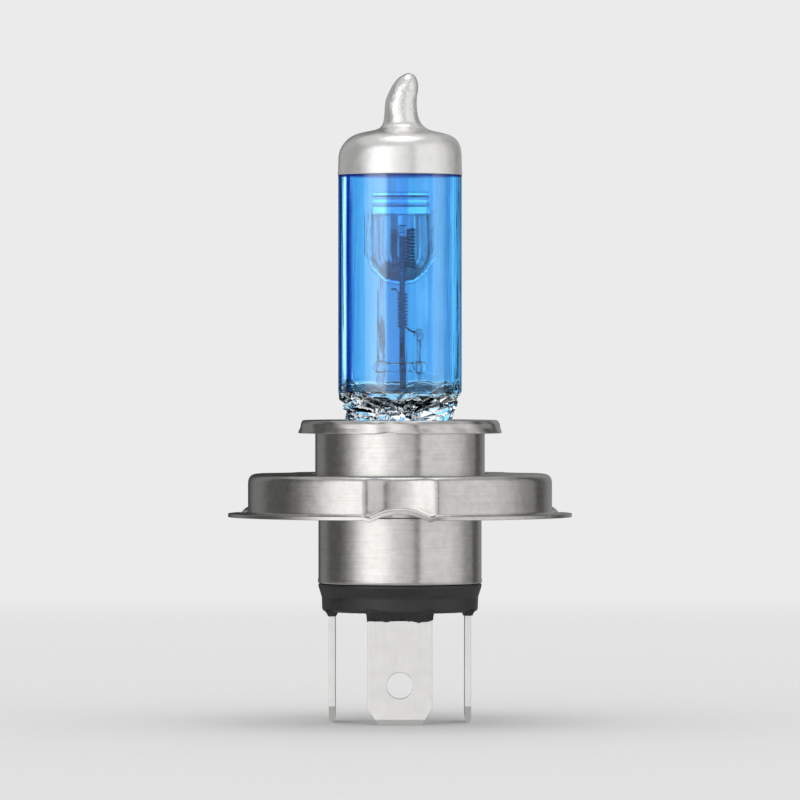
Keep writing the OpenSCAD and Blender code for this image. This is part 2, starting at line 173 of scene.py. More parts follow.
def polar(radius, azimuth, z):
    angle = math.radians(azimuth)
    return (radius * math.cos(angle), radius * math.sin(angle), z)


def around(count):
    """Azimuths spaced evenly round the axis."""
    return [360 * i / count for i in range(count)]


def signed_volume(points, faces):
    total = 0.0
    for face in faces:
        a = Vector(points[face[0]])
        for i in range(1, len(face) - 1):
            total += a.dot(Vector(points[face[i]]).cross(Vector(points[face[i + 1]])))
    return total / 6


def turned(points, faces, outward=True):
    """The faces, all flipped if the closed surface doesn't face the way that is asked."""
    if (signed_volume(points, faces) > 0) == outward:
        return faces
    return [tuple(reversed(f)) for f in faces]


def shade(mesh, sharp):
    """Smooth shading, except where the mesh bends by more than sharp degrees."""
    mesh.polygons.foreach_set("use_smooth", [True] * len(mesh.polygons))
    mesh.set_sharp_from_angle(angle=math.radians(sharp))


def make(name, points, faces, sharp=38):
    """Mesh object from points in millimetres."""
    mesh = bpy.data.meshes.new(name)
    mesh.from_pydata([(x * MM, y * MM, z * MM) for x, y, z in points], [], faces)
    mesh.validate()
    bm = bmesh.new()
    bm.from_mesh(mesh)
    bmesh.ops.remove_doubles(bm, verts=bm.verts, dist=1e-6)
    bm.to_mesh(mesh)
    bm.free()
    shade(mesh, sharp)
    return link(name, mesh)


def grid_faces(rows, columns, close_rows=False, close_columns=False, first=0):
    """Quads of a grid of points stored row by row."""
    faces = []
    for i in range(rows if close_rows else rows - 1):
        for k in range(columns if close_columns else columns - 1):
            i2, k2 = (i + 1) % rows, (k + 1) % columns
            faces.append((first + i * columns + k, first + i * columns + k2,
                          first + i2 * columns + k2, first + i2 * columns + k))
    return faces


def fillet(p, corner, q, steps):
    """Points of a curve from p to q that rounds off a corner."""
    return [p * (1 - t) ** 2 + corner * 2 * t * (1 - t) + q * t * t
            for t in (s / steps for s in range(steps + 1))]


def rounded(corners, closed=True, steps=4):
    """Polyline through corners (x, z, fillet radius), with each corner rounded and a
    point close to each end of each straight, so that flats stay flat when smoothed."""
    n = len(corners)
    out = []
    for i, (x, z, radius) in enumerate(corners):
        here = Vector((x, z))
        if not closed and i in (0, n - 1):
            out.append(here)
            continue
        a = Vector(corners[i - 1][:2]) - here
        b = Vector(corners[(i + 1) % n][:2]) - here
        half = a.angle(b) / 2
        reach = min(radius / math.tan(half), 0.48 * a.length, 0.48 * b.length)
        p, q = here + a.normalized() * reach, here + b.normalized() * reach
        out.append(p + a.normalized() * 0.05 * (a.length - reach) / a.length)
        out += fillet(p, here, q, steps)
        out.append(q + b.normalized() * 0.05 * (b.length - reach) / b.length)
    return [(p.x, p.y) for p in out]


def swept(name, azimuths, loop_at, closed=True, sharp=38):
    """Surface through loop_at(azimuth), a loop of (radius, height), at each azimuth."""
    loops = [loop_at(azimuth) for azimuth in azimuths]
    points = [polar(r, azimuth, z) for azimuth, loop in zip(azimuths, loops) for r, z in loop]
    faces = grid_faces(len(azimuths), len(loops[0]), True, closed)
    return make(name, points, turned(points, faces), sharp)


def lathe(name, profile, closed=True, sides=256, shape=None, sharp=38):
    """Surface of revolution of a profile of (radius, height). shape(azimuth, radius,
    height) may return a changed radius and height."""
    def loop_at(azimuth):
        return [shape(azimuth, r, z) if shape else (r, z) for r, z in profile]

    return swept(name, around(sides), loop_at, closed, sharp)


def tube_mesh(path, radius, sides, squeeze=None):
    """Points and faces of a round rod along a path, capped with small domes. squeeze(i)
    may give two factors that flatten the section at path point i."""
    path = [Vector(p) for p in path]
    normal = None
    points = []
    last = len(path) - 1
    for i, here in enumerate(path):
        along = (path[min(i + 1, last)] - path[max(i - 1, 0)]).normalized()
        if normal is None:
            side = Vector((0, 1, 0)) if abs(along.y) < 0.9 else Vector((1, 0, 0))
            normal = along.cross(side).normalized()
        normal = (normal - along * normal.dot(along)).normalized()
        other = along.cross(normal)
        wide, thick = squeeze(i) if squeeze else (1, 1)
        for k in range(sides):
            angle = 2 * math.pi * k / sides
            points.append(here + normal * radius * wide * math.cos(angle)
                          + other * radius * thick * math.sin(angle))
    faces = grid_faces(len(path), sides, False, True)
    for row, step in ((0, -1), (last, 1)):
        along = (path[row] - path[row - step]).normalized()
        rim = [points[row * sides + k] for k in range(sides)]
        ring = len(points)
        points += [path[row] + (p - path[row]) * 0.7 + along * radius * 0.3 for p in rim]
        for k in range(sides):
            k2 = (k + 1) % sides
            faces.append((row * sides + k, row * sides + k2, ring + k2, ring + k))
        faces.append(tuple(ring + k for k in range(sides)))
    return points, faces


def oriented(name, points, faces, sharp=38):
    """Closed mesh object with its faces made to point outwards."""
    obj = make(name, points, faces, sharp)
    bm = bmesh.new()
    bm.from_mesh(obj.data)
    bmesh.ops.recalc_face_normals(bm, faces=bm.faces)
    bm.to_mesh(obj.data)
    bm.free()
    return obj


def bend(path, radius, steps=6):
    """Path with its inner corners rounded."""
    path = [Vector(p) for p in path]
    out = [path[0]]
    for before, here, after in zip(path, path[1:], path[2:]):
        a, b = (before - here).normalized(), (after - here).normalized()
        reach = min(radius, 0.45 * (before - here).length, 0.45 * (after - here).length)
        out += fillet(here + a * reach, here, here + b * reach, steps)
    out.append(path[-1])
    return out


def rod(name, path, radius):
    return oriented(name, *tube_mesh(bend(path, 1.3), radius, 20))


def merged(parts):
    """Points and faces of several (points, faces) pairs in one."""
    points, faces = [], []
    for more_points, more_faces in parts:
        faces += [tuple(i + len(points) for i in f) for f in more_faces]
        points += list(more_points)
    return points, faces


def place(obj, material, slot, *nodes):
    """Gives a piece its material and lets it stand for CAD nodes. The slot argument is not used."""
    obj.data.materials.clear()
    obj.data.materials.append(material)
    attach(obj, "root")
    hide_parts(*nodes)


# ---- Materials ----

class Tree:
    """Short calls for building a node tree. Inputs are given as numbers, colours or the
    output of another node."""

    def __init__(self, tree):
        self.tree = tree
        tree.nodes.clear()

    def add(self, kind, inputs=None, out=0, **settings):
        node = self.tree.nodes.new(kind)
        for key, value in settings.items():
            setattr(node, key, value)
        for key, value in (inputs or {}).items():
            if isinstance(value, bpy.types.NodeSocket):
                self.tree.links.new(value, node.inputs[key])
            else:
                node.inputs[key].default_value = value
        return node.outputs[out] if node.outputs else None

    def math(self, operation, a, b=0.0):
        return self.add("ShaderNodeMath", {0: a, 1: b}, operation=operation)

    def span(self, value, low, high, out_low, out_high):
        return self.add("ShaderNodeMapRange", {"Value": value, "From Min": low,
                        "From Max": high, "To Min": out_low, "To Max": out_high})

    def spread(self, value):
        """Noise, which keeps near 0.5, spread out over 0 to 1."""
        return self.span(value, 0.35, 0.65, 0.0, 1.0)

    def weigh(self, a, share_a, b, share_b):
        """Weighted sum of two numbers."""
        return self.math("ADD", self.math("MULTIPLY", a, share_a), self.math("MULTIPLY", b, share_b))

    def mix(self, factor, a, b):
        """Colour between a and b."""
        return self.add("ShaderNodeMix", {0: factor, 6: a, 7: b}, out=2, data_type="RGBA")

    def between(self, factor, a, b):
        """Number between a and b."""
        return self.add("ShaderNodeMix", {0: factor, 2: a, 3: b}, data_type="FLOAT")

    def xyz(self, vector):
        return [self.add("ShaderNodeSeparateXYZ", {0: vector}, out=i) for i in range(3)]

    def noise(self, vector, scale, detail, roughness):
        return self.add("ShaderNodeTexNoise", {"Vector": vector, "Scale": scale,
                        "Detail": detail, "Roughness": roughness})

    def stretched(self, vector, across, along, scale, detail, roughness):
        """Noise drawn out along the axis."""
        mapped = self.add("ShaderNodeMapping", {0: vector, 3: (across, across, along)})
        return self.noise(mapped, scale, detail, roughness)

    def bump(self, height, strength, distance):
        return self.add("ShaderNodeBump", {"Height": height, "Strength": strength,
                        "Distance": distance})

    def surface(self, **inputs):
        """Makes a principled surface the material's output."""
        inputs = {key.replace("_", " "): value for key, value in inputs.items()}
        self.add("ShaderNodeOutputMaterial", {0: self.add("ShaderNodeBsdfPrincipled", inputs)})

    def layered(self, share, below, above):
        """Makes a mix of two shaders the output."""
        self.add("ShaderNodeOutputMaterial",
                 {0: self.add("ShaderNodeMixShader", {0: share, 1: below, 2: above})})


def material(name):
    made = bpy.data.materials.new(name)
    made.use_nodes = True
    return made, Tree(made.node_tree)


def grey(value, tint):
    return (value * tint[0], value * tint[1], value * tint[2], 1)


def object_point(t):
    """Object coordinates in millimetres."""
    point = t.add("ShaderNodeTexCoord", out=3)
    return t.add("ShaderNodeVectorMath", {0: point, 3: 1000.0}, operation="SCALE")


def front_azimuth(t, x, y):
    """Azimuth from the front in radians, positive to the right."""
    return t.math("ARCTAN2", x, t.math("MULTIPLY", y, -1.0))


def turned_point(t, around_axis, across):
    """Coordinates for marks left by turning: slow round the axis, fast across it."""
    x, y, z = t.xyz(object_point(t))
    angle = t.math("ARCTAN2", y, x)
    radius = t.math("SQRT", t.math("ADD", t.math("MULTIPLY", x, x), t.math("MULTIPLY", y, y)))
    return t.add("ShaderNodeCombineXYZ", {0: t.math("MULTIPLY", angle, around_axis),
                 1: t.math("MULTIPLY", radius, across), 2: t.math("MULTIPLY", z, across)})


def turned_steel(name, base, rough, scratch, mottle):
    """Satin nickel-plated steel with fine turning lines, mottling and dull patches."""
    made, t = material(name)
    lines = t.noise(turned_point(t, 1.5, 7.0), 1.0, 4.0, 0.62)
    broad = t.noise(turned_point(t, 4.0, 1.2), 1.0, 3.0, 0.6)
    patches = t.noise(object_point(t), 0.9, 4.0, 0.6)
    grain = t.noise(object_point(t), 7.0, 2.0, 0.6)
    colour = t.mix(t.spread(t.weigh(patches, 0.6, lines, 0.4)),
                   grey(base * 0.86, (1, 0.985, 0.955)), grey(base * 1.1, (1, 0.99, 0.965)))
    shine = t.span(t.weigh(grain, 0.5, patches, 0.5), 0.3, 0.7, rough - 0.07, rough + 0.1)
    height = t.math("ADD", t.math("MULTIPLY", lines, scratch), t.weigh(broad, mottle, grain, 0.05))
    t.surface(Base_Color=colour, Metallic=1.0, Roughness=shine, Normal=t.bump(height, 0.35, 0.00004))
    return made


def blade_metal():
    """Tin-bright flat contact metal, rolled along the blade, with faint scuffs."""
    made, t = material("blade_metal")
    point = object_point(t)
    rolled = t.stretched(point, 5.0, 0.35, 1.0, 3.0, 0.6)
    cloud = t.noise(point, 0.55, 3.0, 0.55)
    scuff = t.noise(point, 5.0, 4.0, 0.7)
    colour = t.mix(t.spread(t.weigh(cloud, 0.6, rolled, 0.4)),
                   grey(0.9, (1, 0.995, 0.985)), grey(0.98, (1, 0.997, 0.99)))
    relief = t.math("ADD", rolled, t.math("MULTIPLY", cloud, 1.5))
    t.surface(Base_Color=colour, Metallic=0.9, Roughness=t.span(scuff, 0.35, 0.7, 0.3, 0.42),
              Normal=t.bump(relief, 0.14, 0.00003))
    return made


def plain_metal(name, base, tint, rough, scale, metallic=1.0):
    """Drawn or stamped metal with streaks, stains and a fine skin."""
    made, t = material(name)
    point = object_point(t)
    streak = t.stretched(point, 4.0, 0.8, scale / 3, 4.0, 0.6)
    stain = t.noise(point, scale * 0.4, 3.0, 0.6)
    colour = t.mix(t.spread(t.weigh(streak, 0.5, stain, 0.5)),
                   grey(base * 0.72, tint), grey(min(base * 1.15, 0.95), tint))
    t.surface(Base_Color=colour, Metallic=metallic,
              Roughness=t.span(stain, 0.3, 0.7, rough - 0.05, rough + 0.12),
              Normal=t.bump(streak, 0.3, 0.00003))
    return made


def silver_paint():
    """Satin aluminium paint: fine flakes, brush-dabbed thickness, smoother on the tip."""
    made, t = material("silver_paint")
    point = object_point(t)
    flake = t.noise(point, 14.0, 2.0, 0.7)
    dab = t.noise(point, 0.9, 3.0, 0.55)
    tip = t.span(t.xyz(point)[2], 47.0, 49.5, 0.0, 1.0)
    colour = t.mix(t.spread(t.weigh(flake, 0.55, dab, 0.45)),
                   grey(0.86, (1, 0.995, 0.985)), grey(0.98, (1, 0.998, 0.99)))
    shine = t.math("SUBTRACT", t.span(dab, 0.3, 0.7, 0.19, 0.27), t.math("MULTIPLY", tip, 0.1))
    lumps = t.weigh(flake, 0.02, dab, t.math("ADD", 0.6, t.math("MULTIPLY", tip, 3.4)))
    t.surface(Base_Color=colour, Metallic=0.68, Roughness=shine, Normal=t.bump(lumps, 0.5, 0.00012))
    return made


def quartz():
    """Clear fused quartz with drawn streaks and slight waves."""
    made, t = material("quartz")
    drawn = t.stretched(object_point(t), 1.1, 0.05, 1.0, 2.0, 0.5)
    tint = t.mix(drawn, (0.93, 0.955, 0.975, 1), (0.985, 0.995, 1.0, 1))
    t.surface(Base_Color=tint, Transmission_Weight=1.0, IOR=1.458, Roughness=0.0,
              Normal=t.bump(drawn, 0.22, 0.0003))
    return made


def band_ramp(t, position, stops, peak=1.0):
    """Value from a list of (degrees, value), for a position that runs from 0 to 1 between
    the first and the last angle."""
    ramp = t.add("ShaderNodeValToRGB", {0: position}).node
    elements = ramp.color_ramp.elements
    elements.remove(elements[1])
    elements[0].position = 0
    first, last = stops[0][0], stops[-1][0]
    for degrees, value in stops:
        at = (degrees - first) / (last - first)
        stop = elements.new(at) if at > 0 else elements[0]
        stop.color = (value / peak, value / peak, value / peak, 1)
    return t.math("MULTIPLY", ramp.outputs[0], peak)


def blue_film():
    """Thin blue interference film: it tints what is seen through it, and it reflects more than bare
    glass.
    At set azimuths from the front, positive to the right, upright runs are painted: painted shade as
    a deeper navy tint, painted highlight as a pale tint, and painted shine as a stronger reflection."""
    painted_shade_runs = ((-180, 0), (-126, 0), (-106, 0.7), (-92, 0.7), (-87, 0), (-78, 0),
                  (-76, 1), (-72, 1), (-70, 0), (-61, 0), (-59, 0.9), (-54, 0.7),
                  (-50, 0), (-13, 0), (-11, 0.3), (6, 0.3), (9, 0.1), (29, 0.12),
                  (32, 0), (44, 0), (47, 0.2), (54, 0.2), (57, 0), (180, 0))
    painted_highlight_runs = ((-180, 0), (-88, 0), (-86, 1), (-78, 1), (-76, 0), (-71, 0),
                 (-69, 1), (-62, 1), (-60, 0), (180, 0))
    painted_shine_runs = ((-180, 0.35), (-100, 0.25), (-74, 0.25), (-36, 0.3), (-33, 1), (-14, 1),
                  (-12, 0.35), (4, 0.3), (30, 0.25), (33, 0.8), (42, 0.75), (46, 0.3),
                  (110, 0.3), (130, 0.9), (150, 0.9), (180, 0.35))
    made, t = material("blue_film")
    point = object_point(t)
    x, y, height = t.xyz(point)
    streak = t.stretched(point, 0.9, 0.05, 1.0, 3.0, 0.55)
    cloud = t.noise(point, 0.35, 2.0, 0.5)
    tint = t.mix(t.spread(t.weigh(streak, 0.7, cloud, 0.3)),
                 (0.48, 0.78, 0.955, 1), (0.56, 0.83, 0.985, 1))
    wander = t.math("MULTIPLY", t.math("SUBTRACT", streak, 0.5), 0.01)
    turn = t.math("ADD", t.math("DIVIDE", front_azimuth(t, x, y), 2 * math.pi),
                  t.math("ADD", wander, 0.5))
    # Painted shade: a deeper navy tint in upright runs at set azimuths from the front.
    tint = t.mix(band_ramp(t, turn, painted_shade_runs), tint, (0.06, 0.24, 0.6, 1))
    # Painted highlight: a pale, near-white tint in upright runs at set azimuths from the front.
    tint = t.mix(band_ramp(t, turn, painted_highlight_runs), tint, (0.8, 0.95, 0.98, 1))
    # Painted shade: a dark navy band in the film just under the silver edge.
    top = t.span(height, SILVER_EDGE - 0.4, SILVER_EDGE - 0.15, 0.0, 0.85)
    tint = t.mix(top, tint, (0.12, 0.25, 0.55, 1))
    clear = t.add("ShaderNodeBsdfTransparent", {0: tint})
    gloss = t.add("ShaderNodeBsdfGlossy", {"Color": (0.93, 0.95, 1.0, 1), "Roughness": 0.035,
                  "Normal": t.bump(streak, 0.15, 0.0002)})
    inside = t.add("ShaderNodeNewGeometry", out=6)
    shine = t.math("MULTIPLY", t.add("ShaderNodeFresnel", {"IOR": 2.4}),
                   t.math("SUBTRACT", 1.0, inside))
    # Painted shine: the reflection made stronger in upright runs at set azimuths from the front.
    t.layered(t.math("MULTIPLY", shine, band_ramp(t, turn, painted_shine_runs)), clear, gloss)
    return made


def moulded_plastic():
    """Black glass-filled moulding compound: fine pores, faint flow marks, satin sheen."""
    made, t = material("black_plastic")
    pore = t.noise(object_point(t), 6.0, 4.0, 0.65)
    flow = t.noise(turned_point(t, 2.0, 1.1), 1.0, 3.0, 0.6)
    colour = t.mix(t.spread(t.weigh(pore, 0.5, flow, 0.5)),
                   (0.016, 0.016, 0.018, 1), (0.036, 0.036, 0.039, 1))
    t.surface(Base_Color=colour, Roughness=t.span(flow, 0.3, 0.7, 0.3, 0.48),
              Normal=t.bump(pore, 0.3, 0.00006))
    return made


def black_resin():
    """Glossy poured resin with a slightly wrinkled skin."""
    made, t = material("black_resin")
    skin = t.noise(object_point(t), 2.5, 3.0, 0.6)
    colour = t.mix(skin, (0.01, 0.01, 0.012, 1), (0.03, 0.03, 0.034, 1))
    t.surface(Base_Color=colour, Roughness=t.span(skin, 0.3, 0.7, 0.12, 0.3),
              Normal=t.bump(skin, 0.5, 0.0002))
    return made


RING_STEEL = turned_steel("ring_steel", 0.67, 0.15, 0.3, 0.4)
COLLAR_STEEL = turned_steel("collar_steel", 0.69, 0.13, 0.3, 0.3)
SHELL_STEEL = turned_steel("shell_steel", 0.69, 0.14, 0.35, 0.35)
BLADE_METAL = blade_metal()
QUARTZ = quartz()
BLUE_FILM = blue_film()
SILVER_PAINT = silver_paint()
TUNGSTEN = plain_metal("tungsten", 0.25, (1, 1, 1.04), 0.22, 6.0)
MOLYBDENUM = plain_metal("molybdenum", 0.85, (1, 0.99, 0.98), 0.1, 4.0, 0.85)
# Painted shade: a much darker copy of the molybdenum, used for the low-beam lead only.
SHADED_MOLYBDENUM = plain_metal("shaded_molybdenum", 0.2, (1, 1, 1.02), 0.2, 4.0)
SHIELD_METAL = plain_metal("shield_metal", 1.3, (1, 1, 1.0), 0.08, 1.5, 0.75)
FOIL_METAL = plain_metal("foil_metal", 0.5, (1, 0.98, 0.96), 0.3, 5.0)
CLIP_STEEL = plain_metal("clip_steel", 0.6, (1, 0.99, 0.97), 0.24, 2.0)
NICKEL_WIRE = plain_metal("nickel_wire", 0.6, (1, 0.96, 0.9), 0.25, 4.0)
PLASTIC = moulded_plastic()
RESIN = black_resin()


# ---- Glass burner ----

def dome_rings(inset):
    """Rings through the two outlines of the dome and tip. Each ring is tilted so that it
    meets the left outline and the right outline at their own heights."""
    rings = []
    for (xl, zl), (xr, zr) in zip(DOME_LEFT, DOME_RIGHT):
        centre, radius = (xl + xr) / 2, (xr - xl) / 2 - inset
        rings.append([(centre + radius * c, radius * s, zl + (zr - zl) * (1 + c) / 2 - 0.6 * inset)
                      for c, s, _ in tube_ring(1, 0)])
    return rings


def tube_ring(radius, z):
    return [polar(radius, azimuth, z) for azimuth in around(TUBE_SIDES)]


def smoothed(rings, times):
    """The rings with their shape eased along the tube, and with rings added between."""
    for _ in range(times):
        finer = [rings[0]]
        for a, b in zip(rings, rings[1:]):
            for near in (0.75, 0.25):
                finer.append([tuple(near * p + (1 - near) * q for p, q in zip(u, v))
                              for u, v in zip(a, b)])
        rings = finer + [rings[-1]]
    return rings


def squared(angle, half_x, half_y, power):
    """Radius of a rounded rectangle at an angle in radians."""
    across, deep = abs(math.cos(angle) / half_x), abs(math.sin(angle) / half_y)
    return (across ** power + deep ** power) ** (-1 / power)


def stack(rings):
    points = [p for ring in rings for p in ring]
    return points, grid_faces(len(rings), len(rings[0]), False, True)


def close_end(points, faces, row, hub):
    """Closes a stack of tube rings at this row, with a fan of triangles round a hub."""
    first = row * TUBE_SIDES
    faces += [(first + k, first + (k + 1) % TUBE_SIDES, len(points)) for k in range(TUBE_SIDES)]
    points.append(hub)


def facet_rings(rng):
    """Crumpled rings between the round tube and the flat pinch."""
    rings = []
    for z in (13.7, 13.1, 12.5, 11.9, 11.3, 10.75):
        t = (TUBE_BOTTOM - z) / (TUBE_BOTTOM - PINCH_TOP)
        half_x = GLASS_R + (PINCH_HALF[0] + 0.4 - GLASS_R) * t ** 0.8
        half_y = GLASS_R + (PINCH_HALF[1] + 0.5 - GLASS_R) * t ** 0.9
        ring = []
        for k in range(FACET_SIDES):
            a = 2 * math.pi * k / FACET_SIDES
            r = squared(a, half_x, half_y, 2 + 3 * t) + rng.uniform(-0.6, 0.34) * (0.7 + t)
            twist = rng.uniform(-0.06, 0.06)
            ring.append((r * math.cos(a + twist), r * math.sin(a + twist),
                         z + rng.uniform(-0.24, 0.24)))
        rings.append(ring)
    return rings


def pinch_ring(z):
    """The flat pinch, thicker along its two edges."""
    ring = []
    for k in range(FACET_SIDES):
        a = 2 * math.pi * k / FACET_SIDES
        rim = 0.4 * max(0.0, abs(math.cos(a)) - 0.86) / 0.14
        r = squared(a, PINCH_HALF[0], PINCH_HALF[1] + rim, 9)
        ring.append((r * math.cos(a), r * math.sin(a), z))
    return ring


def glass_outside(rng):
    """Outer skin of the glass: tip, dome, tube, crumpled shoulders and pinch."""
    dome = dome_rings(0.07)
    upper = smoothed([tube_ring(GLASS_R, 39.0), tube_ring(GLASS_R, SILVER_EDGE)] + dome, 1)
    rings = [tube_ring(GLASS_R, TUBE_BOTTOM), tube_ring(GLASS_R, TUBE_BOTTOM + 0.5)]
    rings += [tube_ring(GLASS_R, z) for z in (20, 30)] + upper
    points, faces = stack(rings)
    close_end(points, faces, len(rings) - 1, (TIP_X, 0, TIP_TOP - 0.1))
    lower = facet_rings(rng) + [pinch_ring(PINCH_TOP), pinch_ring(5.0), pinch_ring(PINCH_BOTTOM)]
    first = len(points)
    for ring in lower:
        points += ring
    per = TUBE_SIDES // FACET_SIDES
    for k in range(FACET_SIDES):
        low_a, low_b = first + k, first + (k + 1) % FACET_SIDES
        middle = k * per + per // 2
        for j in range(per):
            a, b = (k * per + j) % TUBE_SIDES, (k * per + j + 1) % TUBE_SIDES
            faces.append((a, b, low_a if j < per // 2 else low_b))
        faces.append((low_a, middle, low_b))
    for n, (a, b, d, c) in enumerate(grid_faces(len(lower), FACET_SIDES, False, True, first)):
        if (n // FACET_SIDES + n) % 2:
            faces += [(a, b, d), (a, d, c)]
        else:
            faces += [(a, b, c), (b, d, c)]
    floor = first + (len(lower) - 1) * FACET_SIDES
    faces.append(tuple(floor + k for k in range(FACET_SIDES)))
    return points, faces


def glass_cavity(rng):
    """Inner skin of the glass: an uneven floor, the bore and the inside of the dome."""
    rings = []
    waves = [(rng.randint(2, 9), rng.uniform(0, 360), rng.uniform(0.4, 1)) for _ in range(7)]
    for r, z, rough in ((0.6, CAVITY_FLOOR, 0.3), (2.2, 13.4, 0.9), (3.8, 13.55, 1.0),
                        (5.0, 13.9, 1.0), (5.75, 14.35, 0.9), (6.15, 14.9, 0.7),
                        (6.35, 15.6, 0.45), (6.44, 16.4, 0.25), (CAVITY_R, 17.4, 0.1),
                        (CAVITY_R, 19.0, 0.0), (CAVITY_R, 30.0, 0.0), (CAVITY_R, 40.5, 0.0)):
        ring = []
        for a in around(TUBE_SIDES):
            wave = sum(w * math.sin(math.radians(n * a + shift + 40 * z * n / 9))
                       for n, shift, w in waves) / 7
            ring.append(polar(r - 0.5 * abs(wave) * rough, a, z + 0.75 * wave * rough))
        rings.append(ring)
    rings = smoothed(rings + dome_rings(1.15)[:9], 1)
    points, faces = stack(rings)
    for row, height in ((0, CAVITY_FLOOR), (len(rings) - 1, None)):
        x, y, z = (sum(p[i] for p in rings[row]) / TUBE_SIDES for i in range(3))
        close_end(points, faces, row, (x, y, height or z + 0.05))
    return points, faces


def consistent(points, faces, outward):
    """Faces of one closed skin, wound the same way round and facing as asked."""
    mesh = bpy.data.meshes.new("scratch")
    mesh.from_pydata(points, [], faces)
    bm = bmesh.new()
    bm.from_mesh(mesh)
    bmesh.ops.recalc_face_normals(bm, faces=bm.faces)
    faces = [tuple(v.index for v in f.verts) for f in bm.faces]
    bm.free()
    bpy.data.meshes.remove(mesh)
    return turned(points, faces, outward)


def glass_bulb():
    rng = random.Random(11)
    outside, inside = glass_outside(rng), glass_cavity(rng)
    skins = [(outside[0], consistent(*outside, True)), (inside[0], consistent(*inside, False))]
    return make("glass_bulb", *merged(skins), 12)


def film_edge(azimuth):
    """Height of the uneven lower edge of the blue film."""
    a = math.radians(azimuth)
    wave = math.sin(3 * a + 1.1) + 0.7 * math.sin(7 * a + 0.4) + 0.4 * math.sin(13 * a)
    return TUBE_BOTTOM + 0.16 + 0.08 * wave


def film_sleeve():
    low, high = TUBE_BOTTOM, SILVER_EDGE
    profile = [(FILM_INNER_R, low), (FILM_R, low), (FILM_R, 20), (FILM_R, 34), (FILM_R, high),
               (FILM_INNER_R, high), (FILM_INNER_R, 34), (FILM_INNER_R, 20)]
    return lathe("blue_film_sleeve", profile, sides=TUBE_SIDES, sharp=60,
                 shape=lambda azimuth, r, z: (r, film_edge(azimuth) if z == low else z))


def silver_dome():
    """Paint over the dome and tip, with a thicker bead where it ends on the tube."""
    bead = [tube_ring(r, SILVER_EDGE + up) for r, up in (
        (7.7, 0), (7.76, 0.02), (7.79, 0.1), (7.79, 0.2), (7.75, 0.34), (FILM_R, 0.6))]
    body = smoothed([tube_ring(FILM_R, SILVER_EDGE + 0.9)] + dome_rings(-0.05), 2)
    rng = random.Random(5)
    lumps = [(rng.uniform(0.5, 2.2), rng.uniform(0, 6.28), rng.randint(1, 3)) for _ in range(5)]
    for ring in body:
        for k, (x, y, z) in enumerate(ring):
            a = 2 * math.pi * k / TUBE_SIDES
            on_tip = min(1.0, max(0.0, (z - 47.5) / 1.5)) * min(1.0, max(0.0, (54.0 - z) / 0.8))
            push = 0.045 * on_tip * sum(math.sin(f * z + n * a + s) for f, s, n in lumps) / 2
            ring[k] = (x + push * math.cos(a), y + push * math.sin(a), z)
    inside = [tube_ring(FILM_INNER_R, SILVER_EDGE + up) for up in (0.01, 0.9)] + dome_rings(0.02)
    rings = list(reversed(inside)) + bead + body
    points, faces = stack(rings)
    for row, z in ((0, TIP_TOP - 0.06), (len(rings) - 1, TIP_TOP)):
        close_end(points, faces, row, (sum(p[0] for p in rings[row]) / TUBE_SIDES, 0, z))
    return make("silver_dome", points, consistent(points, faces, True), 50)


place(glass_bulb(), QUARTZ, "quartz", "glass_envelope")
place(film_sleeve(), BLUE_FILM, "blue_filter", "blue_coating")
place(silver_dome(), SILVER_PAINT, "silver_paint", "silver_cap")


# ---- Inside the burner ----

def shield_cup():
    """Half-round cup, upright at its sides and closed below, with a rolled rim."""
    section = [(CUP_RIM_R, CUP_FRONT + 0.12), (CUP_RIM_R - 0.06, CUP_FRONT + 0.01),
               (CUP_RIM_R - 0.2, CUP_FRONT), (CUP_R + 0.1, CUP_FRONT + 0.02),
               (CUP_R - 0.02, CUP_FRONT + 0.12), (CUP_R - 0.08, CUP_FRONT + 0.3)]
    quarter = 14
    for i in range(quarter + 1):
        a = math.pi / 2 * i / quarter
        section.append(((CUP_R - 0.1) * math.cos(a), (CUP_R - 0.1) * math.sin(a)))
    heights = [CUP_TOP - i * (CUP_TOP - CUP_BALL_Z) / 8 for i in range(8)]
    turns = 40
    bottom = [math.pi + math.pi * i / turns for i in range(turns + 1)]
    stations = [(-1, 0, z) for z in heights]
    stations += [(math.cos(b), math.sin(b), CUP_BALL_Z) for b in bottom]
    stations += [(1, 0, z) for z in reversed(heights)]
    points = [(CUP_X + r * c, y, z + r * s) for c, s, z in stations for r, y in section]
    cup = make("shield_cup", points, grid_faces(len(stations), len(section)), 60)
    solid = cup.modifiers.new("sheet", "SOLIDIFY")
    solid.thickness = CUP_SHEET * MM
    solid.offset = 0
    edge = cup.modifiers.new("edge", "BEVEL")
    edge.width = 0.05 * MM
    edge.segments = 2
    edge.limit_method = "ANGLE"
    return cup


def shield_tab():
    """Flat tab with two pressed ribs across it, a little thinner at its side edges."""
    half, front, back, foot = TAB_HALF, TAB_Y - 0.15, TAB_Y + 0.15, CUP_TOP - 0.4
    corners = [(front, foot, 0.02)]
    for rib in (37.8, 38.7):
        corners += [(front, rib - 0.25, 0.1), (front - 0.25, rib, 0.15), (front, rib + 0.25, 0.1)]
    corners += [(front, TAB_TOP, 0.1), (back, TAB_TOP, 0.1), (back, foot, 0.02)]
    profile = rounded(corners)
    stations = (-half, -half + 0.06, -half + 0.25, half - 0.25, half - 0.06, half)
    points = []
    for x in stations:
        edge = 0.93 if abs(x) == half else 1.0
        for y, z in profile:
            points.append((CUP_X + x, TAB_Y + (y - TAB_Y) * edge, z))
    n = len(profile)
    faces = grid_faces(len(stations), n, False, True)
    faces += [tuple(range(n)), tuple((len(stations) - 1) * n + k for k in range(n))]
    return points, faces


